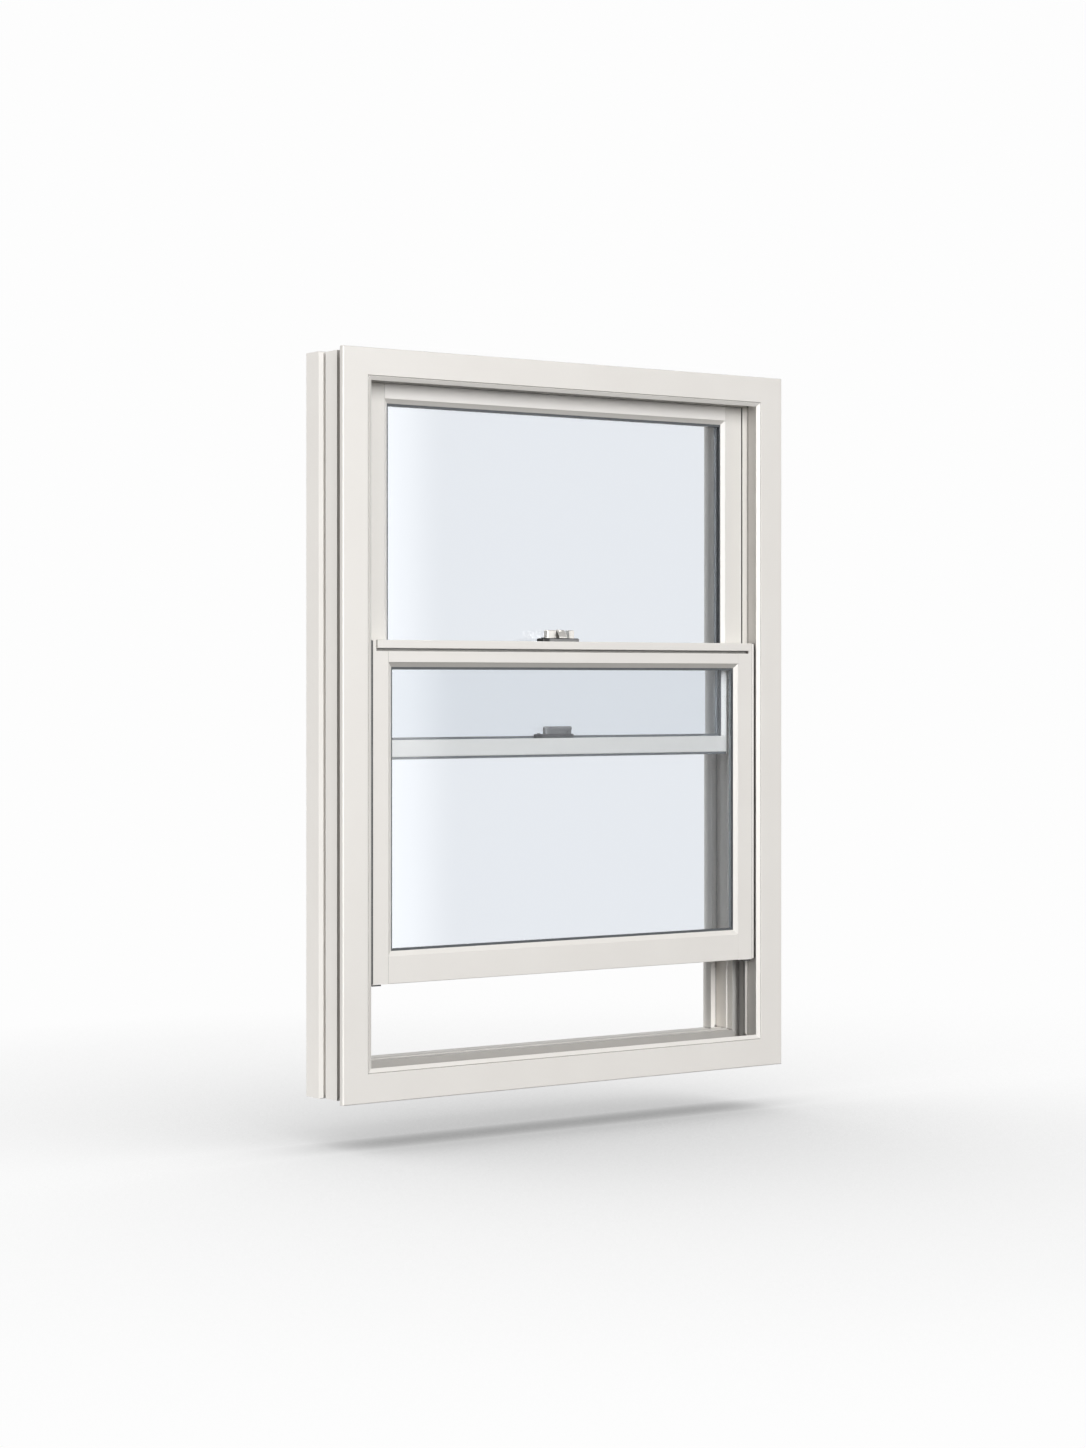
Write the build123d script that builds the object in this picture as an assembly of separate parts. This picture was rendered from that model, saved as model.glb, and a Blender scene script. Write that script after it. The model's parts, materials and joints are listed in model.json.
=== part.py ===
"""Single hung window: a welded frame, a fixed upper sash and a sliding lower sash with a cam lock.

Millimetres, +Z up, +X to the right seen from the room, the room side towards -Y.
The origin lies on the flat seat under the sill, midway along it.
"""
import math
import os

from build123d import *

# Overall size of the frame
FRAME_WIDTH = 902.0
FRAME_HEIGHT = 1206.0
FRAME_DEPTH = 118.0

# Room face of the frame: a flat band, a fine quirk and a bevel towards the opening
FACE_WIDTH = 46.5
HEAD_FACE_WIDTH = 43.7
FACE_ROUND = 2.0
QUIRK_WIDTH = 2.0
QUIRK_DEPTH = 1.4
QUIRK_RISE = 0.3
QUIRK_ROUND = 0.3
BEVEL_WIDTH = 8.5
BEVEL_DEPTH = 3.6
BEVEL_ROUND = 0.6
LIP_EDGE = 0.5

# Outer side of the frame: lip, groove, middle band, notch, slope and flat seat, counted from the face
LIP_DEPTH = 9.5
GROOVE_WIDTH = 17.0
GROOVE_RECESS = 12.0
BAND_WIDTH = 35.0
BAND_RECESS = 5.0
NOTCH_WIDTH = 7.5
NOTCH_RECESS = 11.0
SLOPE_WIDTH = 10.0
SEAT_RECESS = 2.5

# Inner side of the jambs and the head
TRACK_UNDERCUT = 6.0
PARTING_REACH = 5.5
PARTING_DEPTH = 3.0
CHANNEL_UNDERCUT = 6.0
CHANNEL_RIB = 2.0
CHANNEL_RIB_SETBACK = 14.0
OUTER_LEG_RISE = 14.5
OUTER_LEG_STEP = 1.5
OUTER_LEG_STEP_DEPTH = 15.0

# Sill: pocket that the lower sash drops into and the dam behind it
POCKET_FLOOR = 21.0
DAM_RISE = 25.0
DAM_DEPTH = 4.0
SILL_FALL = 4.0

# Screen tracks on the weather side of the jambs
SCREEN_TRACK_DEPTH = 22.0
SCREEN_TRACK_WALL = 7.5
SCREEN_TRACK_SLOT = 16.0
SCREEN_TRACK_BACK = 6.0

# Lower sash
SASH_GAP = 5.0
LOWER_BACK_LEG = 2.0
SASH_ROUND = 1.2
LOWER_STILE_FACE = 31.0
LOWER_TOP_FACE = 35.8
LOWER_BOTTOM_FACE = 44.8
LOWER_BEAD = 7.6
LOWER_BEAD_DEPTH = 5.0
LOWER_BEAD_SLOPE = 3.8
LOWER_SEAL = 1.0
REST_RAISE = 158.8
LIFT_RAIL_HEIGHT = 13.4
LIFT_RAIL_REACH = 4.0
LIFT_RAIL_INSET = 8.0
LIFT_GROOVE_HEIGHT = 4.6
LIFT_GROOVE_DEPTH = 5.0
PAD_LENGTH = 16.0
PAD_HEIGHT = 2.5
PAD_INSET = 2.0
PILE_WIDTH = 6.0
PILE_GAP = 0.3

# Upper sash
MEETING_HEIGHT = 581.0
MEETING_DROP = 2.9
MEETING_RAIL_HEIGHT = 27.5
MEETING_SEAL = 4.0
MEETING_SEAL_DEPTH = 2.0
UPPER_BACK_LEG = 8.0
UPPER_REBATE = 10.0
UPPER_EDGE_GAP = 3.0
UPPER_STILE_FACE = 36.1
UPPER_TOP_FACE = 24.3
UPPER_TOP_REVEAL = 1.0
UPPER_BEAD = 7.1
UPPER_BEAD_DEPTH = 5.6
UPPER_BEAD_SLOPE = 4.6
UPPER_SEAL = 6.4
STOP_WIDTH = 6.4
STOP_REVEAL = 2.5
MEETING_POCKET = 10.0

# Glazing, the same in both sashes
BEAD_LAND = 0.8
PANE = 3.0
PANE_SPACE = 6.0
SEAL_SIDE_SHOW = 2.2
SEAL_RAIL_SHOW = 4.2
GLASS_EDGE_GAP = 0.6
SPACER_WIDTH = 9.0

# Cam lock on the lower sash and its keeper on the meeting rail
LOCK_X = -15.0
LOCK_BASE_LENGTH = 75.8
LOCK_BASE_SHIFT = -3.6
LOCK_BASE_DEPTH = 19.0
LOCK_BASE_HEIGHT = 5.6
LOCK_BASE_ROUND = 3.0
LOCK_PIVOT_SETBACK = 5.8
LOCK_BLOCK_LENGTH = 10.0
LEVER_ARM = 27.0
LEVER_DEPTH = 11.0
LEVER_HEIGHT = 13.6
LEVER_GAP = 0.3
LEVER_CORNER = 2.0
LEVER_ROUND = 1.5
HUB_RADIUS = 8.0
THUMB_REACH = 14.5
THUMB_TOP_REACH = 6.0
THUMB_FOOT = 2.0
THUMB_WIDTH = 17.0
THUMB_ROUND = 1.0
THUMB_GAP = 1.5
TONGUE_REACH = 14.3
TONGUE_WIDTH = 7.0
TONGUE_HEIGHT = 3.0
TONGUE_LIFT = 0.4
LEVER_TURN = 100.0
PIVOT_RADIUS = 3.0
PIVOT_GAP = 0.05
KEEPER_LENGTH = 80.0
KEEPER_SEAL_GAP = 0.3
KEEPER_SETBACK = 1.0
KEEPER_BASE_HEIGHT = 7.0
KEEPER_HOOD_LENGTH = 57.6
KEEPER_HOOD_SHIFT = 7.6
KEEPER_HOOD_HEIGHT = 12.6
KEEPER_MOUTH = 7.0
KEEPER_CLEARANCE = 2.0
KEEPER_ROUND = 4.0
KEEPER_EDGE = 3.2

# Thickness of the sealed unit and of both sashes around it, and the keeper on its ledge
UNIT_THICKNESS = 2 * PANE + PANE_SPACE
LOWER_THICKNESS = LOWER_BEAD_DEPTH + LOWER_SEAL + UNIT_THICKNESS + LOWER_BACK_LEG
UPPER_LEDGE = UPPER_BEAD_DEPTH + UPPER_SEAL
UPPER_THICKNESS = UPPER_LEDGE + UNIT_THICKNESS + UPPER_BACK_LEG
KEEPER_DEPTH = UPPER_LEDGE - MEETING_SEAL_DEPTH - KEEPER_SETBACK - KEEPER_SEAL_GAP

# Depths behind the room face, front to back
LIP_BACK = BEVEL_DEPTH + LIP_EDGE
LOWER_FRONT = LIP_BACK + SASH_GAP
LOWER_BACK = LOWER_FRONT + LOWER_THICKNESS
UPPER_FRONT = LOWER_BACK + SASH_GAP
PARTING_BACK = UPPER_FRONT + PARTING_DEPTH
UPPER_BACK = UPPER_FRONT + UPPER_THICKNESS
GROOVE_END = LIP_DEPTH + GROOVE_WIDTH
BAND_END = GROOVE_END + BAND_WIDTH
NOTCH_END = BAND_END + NOTCH_WIDTH
SEAT_START = NOTCH_END + SLOPE_WIDTH
FRONT_Y = -(SEAT_START + FRAME_DEPTH) / 2

# Distances in from the outer edge of the frame
BEVEL_END = FACE_WIDTH + BEVEL_WIDTH
TRACK_WALL = BEVEL_END - TRACK_UNDERCUT
PARTING_END = TRACK_WALL + PARTING_REACH
CHANNEL_FLOOR = TRACK_WALL - CHANNEL_UNDERCUT
OUTER_LEG = CHANNEL_FLOOR + OUTER_LEG_RISE
OUTER_LEG_TOP = OUTER_LEG + OUTER_LEG_STEP
UPPER_EDGE = CHANNEL_FLOOR + UPPER_EDGE_GAP
STOP_END = PARTING_END + STOP_WIDTH

# The head's section is the jambs' one, narrowed towards the opening so that the mitres still meet
HEAD_SHARE = HEAD_FACE_WIDTH / FACE_WIDTH
HEAD_PARTING = HEAD_SHARE * PARTING_END
HEAD_LEG_TOP = HEAD_SHARE * OUTER_LEG_TOP
HEAD_EDGE = HEAD_SHARE * CHANNEL_FLOOR + UPPER_EDGE_GAP

# Heights, with the seat at zero
FRAME_BOTTOM = -SEAT_RECESS
FRAME_TOP = FRAME_BOTTOM + FRAME_HEIGHT
MEETING_TOP = FRAME_BOTTOM + MEETING_HEIGHT
RAIL_TOP = MEETING_TOP - MEETING_DROP
RAIL_BOTTOM = RAIL_TOP - MEETING_RAIL_HEIGHT
MEETING_BOTTOM = RAIL_BOTTOM - MEETING_SEAL
CLOSED_BOTTOM = FRAME_BOTTOM + POCKET_FLOOR + SASH_GAP + PAD_HEIGHT
LOWER_BOTTOM = CLOSED_BOTTOM + REST_RAISE
LOWER_TOP = MEETING_TOP + REST_RAISE

# Half widths
FRAME_HALF = FRAME_WIDTH / 2
LOWER_HALF = FRAME_HALF - BEVEL_END - SASH_GAP
UPPER_HALF = FRAME_HALF - UPPER_EDGE


def outline(points, rounds=()):
    """A flat face through the points, with the listed corners rounded as (point, radius)."""
    face = make_face(Polyline(*points, close=True)).face()
    for corner, radius in rounds:
        vertex = face.vertices().sort_by_distance(Vector(*corner, 0))[0]
        face = face.fillet_2d(radius, [vertex])
    return face


def upright(section, low, high):
    """A vertical bar: the section is drawn as (x, depth)."""
    return extrude(Pos(0, FRONT_Y, low) * section, amount=high - low, dir=(0, 0, 1))


def crossbar(section, left, right):
    """A level bar: the section is drawn as (depth, z)."""
    return extrude(Pos(left, FRONT_Y, 0) * (Plane.YZ * section), amount=right - left, dir=(1, 0, 0))


def panel(left, right, low, high, front, back):
    """A flat block between two depths."""
    width = right - left
    height = high - low
    centre = Pos((left + right) / 2, FRONT_Y + (front + back) / 2, (low + high) / 2)
    return centre * Box(width, back - front, height)


def ring(half, low, high, border, front, back):
    """A flat rectangular border between two depths."""
    outer = panel(-half, half, low, high, front, back)
    inner = panel(-half + border, half - border, low + border, high - border, front, back)
    return outer - inner


def mitre(points):
    """A wedge through the whole depth that leaves a bar with mitred ends."""
    face = make_face(Polyline(*[(x, 0, z) for x, z in points], close=True)).face()
    return extrude(Pos(0, FRONT_Y, 0) * face, amount=FRAME_DEPTH, dir=(0, 1, 0))


def outer_side():
    """Outer side of every frame member, from the weather side to the room, as (inset, depth)."""
    return [
        (SEAT_RECESS, FRAME_DEPTH),
        (SEAT_RECESS, SEAT_START),
        (BAND_RECESS, NOTCH_END),
        (NOTCH_RECESS, NOTCH_END),
        (NOTCH_RECESS, BAND_END),
        (BAND_RECESS, BAND_END),
        (BAND_RECESS, GROOVE_END),
        (GROOVE_RECESS, GROOVE_END),
        (GROOVE_RECESS, LIP_DEPTH),
        (0, LIP_DEPTH),
    ]


def room_face():
    """Face, quirk, bevel and lip of every frame member, as (inset, depth)."""
    return [
        (0, 0),
        (FACE_WIDTH, 0),
        (FACE_WIDTH + QUIRK_WIDTH / 2, QUIRK_DEPTH),
        (FACE_WIDTH + QUIRK_WIDTH, QUIRK_RISE),
        (BEVEL_END, BEVEL_DEPTH),
        (BEVEL_END, LIP_BACK),
    ]


def outer_leg():
    """Stepped leg on the weather side of every frame member, as (inset, depth)."""
    step = UPPER_BACK + OUTER_LEG_STEP_DEPTH
    return [
        (OUTER_LEG, UPPER_BACK),
        (OUTER_LEG, step),
        (OUTER_LEG_TOP, step + OUTER_LEG_STEP),
        (OUTER_LEG_TOP, FRAME_DEPTH),
    ]


def jamb_inside():
    """Sash track, parting leg and upper channel of the jambs and the head, as (inset, depth)."""
    rib = PARTING_BACK + CHANNEL_RIB_SETBACK
    return [
        (TRACK_WALL, LIP_BACK),
        (TRACK_WALL, UPPER_FRONT),
        (PARTING_END, UPPER_FRONT),
        (PARTING_END, PARTING_BACK),
        (CHANNEL_FLOOR, PARTING_BACK),
        (CHANNEL_FLOOR, rib),
        (CHANNEL_FLOOR + CHANNEL_RIB, rib),
        (CHANNEL_FLOOR + CHANNEL_RIB, rib + CHANNEL_RIB),
        (CHANNEL_FLOOR, rib + CHANNEL_RIB),
        (CHANNEL_FLOOR, UPPER_BACK),
    ]


def sill_inside():
    """Sash pocket, dam and falling top of the sill, as (inset, depth)."""
    dam = POCKET_FLOOR + DAM_RISE
    return [
        (POCKET_FLOOR, LIP_BACK),
        (POCKET_FLOOR, UPPER_FRONT),
        (dam, UPPER_FRONT),
        (dam, UPPER_FRONT + DAM_DEPTH),
        (dam - SILL_FALL, UPPER_BACK),
    ]


FACE_ROUNDS = [
    ((0, 0), FACE_ROUND),
    ((FACE_WIDTH, 0), QUIRK_ROUND),
    ((FACE_WIDTH + QUIRK_WIDTH, QUIRK_RISE), QUIRK_ROUND),
    ((BEVEL_END, BEVEL_DEPTH), BEVEL_ROUND),
]


def frame_head():
    """Top member, mitred at both ends."""
    section = room_face() + jamb_inside() + outer_leg() + outer_side()
    points = [(depth, FRAME_TOP - HEAD_SHARE * inset) for inset, depth in section]
    rounds = [((depth, FRAME_TOP - HEAD_SHARE * inset), radius) for (inset, depth), radius in FACE_ROUNDS]
    bar = crossbar(outline(points, rounds), -FRAME_HALF, FRAME_HALF)
    reach = OUTER_LEG_TOP
    wedge = mitre([
        (-FRAME_HALF, FRAME_TOP),
        (FRAME_HALF, FRAME_TOP),
        (FRAME_HALF - reach, FRAME_TOP - HEAD_LEG_TOP),
        (-FRAME_HALF + reach, FRAME_TOP - HEAD_LEG_TOP),
    ])
    return bar & wedge


def frame_sill():
    """Bottom member, mitred at both ends."""
    section = room_face() + sill_inside() + outer_leg() + outer_side()
    points = [(depth, FRAME_BOTTOM + inset) for inset, depth in section]
    rounds = [((depth, FRAME_BOTTOM + inset), radius) for (inset, depth), radius in FACE_ROUNDS]
    bar = crossbar(outline(points, rounds), -FRAME_HALF, FRAME_HALF)
    reach = OUTER_LEG_TOP
    wedge = mitre([
        (-FRAME_HALF, FRAME_BOTTOM),
        (FRAME_HALF, FRAME_BOTTOM),
        (FRAME_HALF - reach, FRAME_BOTTOM + reach),
        (-FRAME_HALF + reach, FRAME_BOTTOM + reach),
    ])
    return bar & wedge


def right_jamb():
    """Right upright of the frame, mitred at both ends."""
    section = room_face() + jamb_inside() + outer_leg() + outer_side()
    points = [(FRAME_HALF - inset, depth) for inset, depth in section]
    rounds = [((FRAME_HALF - inset, depth), radius) for (inset, depth), radius in FACE_ROUNDS]
    bar = upright(outline(points, rounds), FRAME_BOTTOM, FRAME_TOP)
    reach = OUTER_LEG_TOP
    wedge = mitre([
        (FRAME_HALF, FRAME_BOTTOM),
        (FRAME_HALF, FRAME_TOP),
        (FRAME_HALF - reach, FRAME_TOP - HEAD_LEG_TOP),
        (FRAME_HALF - reach, FRAME_BOTTOM + reach),
    ])
    return bar & wedge


def right_screen_track():
    """L-shaped screen track on the weather side of the right jamb, from the sill to the head."""
    root = FRAME_HALF - OUTER_LEG_TOP
    slot = root - SCREEN_TRACK_SLOT
    nose = slot - SCREEN_TRACK_WALL
    front = FRAME_DEPTH - SCREEN_TRACK_DEPTH
    floor = FRAME_DEPTH - SCREEN_TRACK_BACK
    section = outline([
        (root, FRAME_DEPTH),
        (root, floor),
        (slot, floor),
        (slot, front),
        (nose, front),
        (nose, FRAME_DEPTH),
    ])
    return upright(section, FRAME_BOTTOM + OUTER_LEG_TOP, FRAME_TOP - HEAD_LEG_TOP)


def right_sash_stop():
    """Strip that holds the upper sash against the jamb's parting leg."""
    inner = FRAME_HALF - STOP_END
    outer = FRAME_HALF - PARTING_END
    back = UPPER_FRONT + UPPER_REBATE
    section = outline(
        [(inner, UPPER_FRONT), (outer, UPPER_FRONT), (outer, back), (inner, back)],
        [((inner, UPPER_FRONT), BEVEL_ROUND)],
    )
    return upright(section, MEETING_BOTTOM, FRAME_TOP - HEAD_PARTING)


def upper_unit_front():
    """Depth of the front of the upper sash's glass."""
    return UPPER_FRONT + UPPER_LEDGE


def upper_stile_inner():
    """Half width between the faces of the upper stiles."""
    return FRAME_HALF - STOP_END - STOP_REVEAL - UPPER_STILE_FACE


def upper_rail_inner():
    """Height of the lower edge of the upper sash's top rail."""
    return FRAME_TOP - HEAD_PARTING - UPPER_TOP_REVEAL - UPPER_TOP_FACE


def upper_right_stile():
    """Right stile of the upper sash, with a flange behind the sash stop and the head."""
    inner = upper_stile_inner()
    sight = inner - UPPER_BEAD
    shoulder = inner + UPPER_STILE_FACE
    seat = upper_unit_front() + UNIT_THICKNESS
    flange = UPPER_FRONT + UPPER_REBATE
    section = outline(
        [
            (UPPER_HALF, flange),
            (shoulder, flange),
            (shoulder, UPPER_FRONT),
            (inner, UPPER_FRONT),
            (inner, seat),
            (sight, seat),
            (sight, UPPER_BACK),
            (UPPER_HALF, UPPER_BACK),
        ],
        [((shoulder, UPPER_FRONT), SASH_ROUND), ((inner, UPPER_FRONT), BEVEL_ROUND)],
    )
    top = FRAME_TOP - HEAD_EDGE
    notch = panel(sight, UPPER_HALF, upper_rail_inner() + UPPER_TOP_FACE, top, UPPER_FRONT, flange)
    return upright(section, MEETING_BOTTOM, top) - notch


def upper_top_rail(stiles):
    """Top rail of the upper sash, coped to the stiles."""
    inner = upper_rail_inner()
    sight = inner - UPPER_BEAD
    shoulder = inner + UPPER_TOP_FACE
    seat = upper_unit_front() + UNIT_THICKNESS
    flange = UPPER_FRONT + UPPER_REBATE
    top = FRAME_TOP - HEAD_EDGE
    section = outline(
        [
            (flange, top),
            (flange, shoulder),
            (UPPER_FRONT, shoulder),
            (UPPER_FRONT, inner),
            (seat, inner),
            (seat, sight),
            (UPPER_BACK, sight),
            (UPPER_BACK, top),
        ],
        [((UPPER_FRONT, inner), BEVEL_ROUND)],
    )
    span = upper_stile_inner()
    return crossbar(section, -span, span) - stiles


def upper_meeting_rail(stiles):
    """Bottom rail of the upper sash, with the pocket for the glass and a ledge for the keeper."""
    front = upper_unit_front()
    back = front + UNIT_THICKNESS
    pocket = RAIL_TOP - MEETING_POCKET
    section = outline(
        [
            (UPPER_FRONT, RAIL_BOTTOM),
            (UPPER_BACK, RAIL_BOTTOM),
            (UPPER_BACK, RAIL_TOP),
            (back, RAIL_TOP),
            (back, pocket),
            (front, pocket),
            (front, RAIL_TOP),
            (UPPER_FRONT, RAIL_TOP),
        ],
        [((UPPER_FRONT, RAIL_TOP), SASH_ROUND), ((UPPER_FRONT, RAIL_BOTTOM), SASH_ROUND)],
    )
    span = upper_stile_inner()
    return crossbar(section, -span, span) - stiles


def meeting_seal():
    """Dark strip under the meeting rail, a little behind its face."""
    half = upper_stile_inner()
    front = UPPER_FRONT + SASH_ROUND
    return panel(-half, half, MEETING_BOTTOM, RAIL_BOTTOM, front, front + UPPER_SEAL)


def bead_section(inner, sight, front, depth, slope):
    """Glazing bead as (across, depth): a slope from the sash face down to the glass."""
    return [
        (inner, front + BEAD_LAND),
        (sight, front + BEAD_LAND + slope),
        (sight, front + depth),
        (inner, front + depth),
    ]


def upper_side_bead():
    """Right glazing bead of the upper sash, mitred at the top."""
    inner = upper_stile_inner()
    top = upper_rail_inner()
    sight = inner - UPPER_BEAD
    points = bead_section(inner, sight, UPPER_FRONT, UPPER_BEAD_DEPTH, UPPER_BEAD_SLOPE)
    bar = upright(outline(points), RAIL_TOP, top)
    wedge = mitre([
        (inner, RAIL_TOP),
        (inner, top),
        (sight, top - UPPER_BEAD),
        (sight, RAIL_TOP),
    ])
    return bar & wedge


def upper_top_bead():
    """Top glazing bead of the upper sash, mitred at both ends."""
    inner = upper_stile_inner()
    top = upper_rail_inner()
    sight = top - UPPER_BEAD
    points = bead_section(top, sight, UPPER_FRONT, UPPER_BEAD_DEPTH, UPPER_BEAD_SLOPE)
    bar = crossbar(outline([(depth, z) for z, depth in points]), -inner, inner)
    wedge = mitre([
        (-inner, top),
        (inner, top),
        (inner - UPPER_BEAD, sight),
        (-inner + UPPER_BEAD, sight),
    ])
    return bar & wedge


def upper_gasket():
    """Dark wedge seal between the upper beads and the glass, thinner along the meeting rail."""
    half = upper_stile_inner()
    top = upper_rail_inner()
    back = upper_unit_front()
    front = back - UPPER_SEAL
    side = half - UPPER_BEAD - SEAL_SIDE_SHOW
    high = top - UPPER_BEAD - SEAL_RAIL_SHOW
    outer = panel(-half, half, RAIL_TOP, top, front, back)
    inner = panel(-side, side, RAIL_TOP, high, front, back)
    strip = panel(-side, side, RAIL_TOP, RAIL_TOP + MEETING_SEAL, back - MEETING_SEAL_DEPTH, back)
    return outer - inner + strip


def upper_glass():
    """Inner pane, outer pane and spacer of the upper sash."""
    half = upper_stile_inner() - GLASS_EDGE_GAP
    low = RAIL_TOP - MEETING_POCKET
    top = upper_rail_inner() - GLASS_EDGE_GAP
    front = upper_unit_front()
    return sealed_unit(half, low, top, front)


def sealed_unit(half, low, high, front):
    """Two panes with a spacer border between them."""
    middle = front + PANE
    back = middle + PANE_SPACE
    inner = panel(-half, half, low, high, front, middle)
    spacer = ring(half, low, high, SPACER_WIDTH, middle, back)
    outer = panel(-half, half, low, high, back, back + PANE)
    return inner, outer, spacer


def lower_unit_front():
    """Depth of the front of the lower sash's glass."""
    return LOWER_FRONT + LOWER_BEAD_DEPTH + LOWER_SEAL


def lower_opening():
    """Half width, low and high edges between the faces of the lower sash's members."""
    return LOWER_HALF - LOWER_STILE_FACE, LOWER_BOTTOM + LOWER_BOTTOM_FACE, LOWER_TOP - LOWER_TOP_FACE


def lower_right_stile():
    """Right stile of the lower sash, full height."""
    inner = lower_opening()[0]
    sight = inner - LOWER_BEAD
    seat = lower_unit_front() + UNIT_THICKNESS
    section = outline(
        [
            (LOWER_HALF, LOWER_FRONT),
            (inner, LOWER_FRONT),
            (inner, seat),
            (sight, seat),
            (sight, LOWER_BACK),
            (LOWER_HALF, LOWER_BACK),
        ],
        [((LOWER_HALF, LOWER_FRONT), SASH_ROUND), ((inner, LOWER_FRONT), BEVEL_ROUND)],
    )
    return upright(section, LOWER_BOTTOM, LOWER_TOP)


def lower_rail(edge, inner, sight, stiles):
    """Top or bottom rail of the lower sash, coped to the stiles."""
    seat = lower_unit_front() + UNIT_THICKNESS
    section = outline(
        [
            (LOWER_FRONT, edge),
            (LOWER_FRONT, inner),
            (seat, inner),
            (seat, sight),
            (LOWER_BACK, sight),
            (LOWER_BACK, edge),
        ],
        [((LOWER_FRONT, edge), SASH_ROUND), ((LOWER_FRONT, inner), BEVEL_ROUND)],
    )
    span = lower_opening()[0]
    return crossbar(section, -span, span) - stiles


def lower_side_bead():
    """Right glazing bead of the lower sash, mitred at both ends."""
    inner, low, high = lower_opening()
    sight = inner - LOWER_BEAD
    points = bead_section(inner, sight, LOWER_FRONT, LOWER_BEAD_DEPTH, LOWER_BEAD_SLOPE)
    bar = upright(outline(points), low, high)
    wedge = mitre([(inner, low), (inner, high), (sight, high - LOWER_BEAD), (sight, low + LOWER_BEAD)])
    return bar & wedge


def lower_rail_bead(edge, sight):
    """Top or bottom glazing bead of the lower sash, mitred at both ends."""
    inner = lower_opening()[0]
    points = bead_section(edge, sight, LOWER_FRONT, LOWER_BEAD_DEPTH, LOWER_BEAD_SLOPE)
    bar = crossbar(outline([(depth, z) for z, depth in points]), -inner, inner)
    wedge = mitre([(-inner, edge), (inner, edge), (inner - LOWER_BEAD, sight), (-inner + LOWER_BEAD, sight)])
    return bar & wedge


def lower_gasket():
    """Dark seal between the lower beads and the glass."""
    half, low, high = lower_opening()
    back = lower_unit_front()
    front = back - LOWER_SEAL
    side = half - LOWER_BEAD - SEAL_SIDE_SHOW
    border = LOWER_BEAD + SEAL_RAIL_SHOW
    outer = panel(-half, half, low, high, front, back)
    return outer - panel(-side, side, low + border, high - border, front, back)


def lower_glass():
    """Inner pane, outer pane and spacer of the lower sash."""
    half, low, high = lower_opening()
    gap = GLASS_EDGE_GAP
    return sealed_unit(half - gap, low + gap, high - gap, lower_unit_front())


def lift_rail():
    """Finger rail that stands out along the top of the lower sash."""
    half = LOWER_HALF - LIFT_RAIL_INSET
    front = LOWER_FRONT - LIFT_RAIL_REACH
    low = LOWER_TOP - LIFT_RAIL_HEIGHT
    section = outline(
        [(front, low), (front, LOWER_TOP), (LOWER_FRONT, LOWER_TOP), (LOWER_FRONT, low)],
        [((front, low), SASH_ROUND), ((front, LOWER_TOP), SASH_ROUND)],
    )
    return crossbar(section, -half, half)


def lift_groove():
    """Groove for the finger tips under the lift rail, as long as the rail."""
    half = LOWER_HALF - LIFT_RAIL_INSET
    top = LOWER_TOP - LIFT_RAIL_HEIGHT
    low = top - LIFT_GROOVE_HEIGHT
    return panel(-half, half, low, top, LOWER_FRONT, LOWER_FRONT + LIFT_GROOVE_DEPTH)


def right_corner_pad():
    """Soft pad under the right corner of the lower sash."""
    right = LOWER_HALF - PAD_INSET
    low = LOWER_BOTTOM - PAD_HEIGHT
    front = LOWER_FRONT + PAD_INSET
    return panel(right - PAD_LENGTH, right, low, LOWER_BOTTOM, front, LOWER_BACK - PAD_INSET)


def right_side_pile():
    """Pile strip on the side of the right stile, close to the track wall."""
    middle = (LOWER_FRONT + LOWER_BACK) / 2
    wall = FRAME_HALF - TRACK_WALL - PILE_GAP
    return panel(LOWER_HALF, wall, LOWER_BOTTOM, LOWER_TOP, middle - PILE_WIDTH / 2, middle + PILE_WIDTH / 2)


def pivot_y():
    """Where the lock's pivot stands across the sash."""
    return FRONT_Y + LOWER_BACK - LOCK_PIVOT_SETBACK


def block(face, low, height):
    """A level face raised to a height."""
    return extrude(Pos(0, 0, low) * face, amount=height, dir=(0, 0, 1))


def tongue():
    """Flat face of the tongue, with a round end, as it lies at rest."""
    straight = TONGUE_REACH - TONGUE_WIDTH / 2
    bar = Pos(straight / 2, 0) * Rectangle(straight, TONGUE_WIDTH)
    end = Pos(straight, 0) * Circle(TONGUE_WIDTH / 2)
    return Rot(0, 0, 90 - LEVER_TURN) * (bar + end)


def thumb_piece(low, high):
    """Thumb piece in front of the pivot, leaning back towards its top."""
    profile = outline([
        (0, low),
        (-THUMB_REACH, low),
        (-THUMB_REACH, low + THUMB_FOOT),
        (-THUMB_TOP_REACH, high),
        (0, high),
    ])
    piece = extrude(Pos(-THUMB_WIDTH / 2, 0, 0) * (Plane.YZ * profile), amount=THUMB_WIDTH, dir=(1, 0, 0))
    lean = piece.edges().sort_by(Axis.Y)[:6]
    return fillet([edge for edge in lean if not is_level(edge)], THUMB_ROUND)


def is_level(edge):
    """Whether an edge runs along X."""
    return abs(edge.tangent_at(0).X) > 0.5


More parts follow.
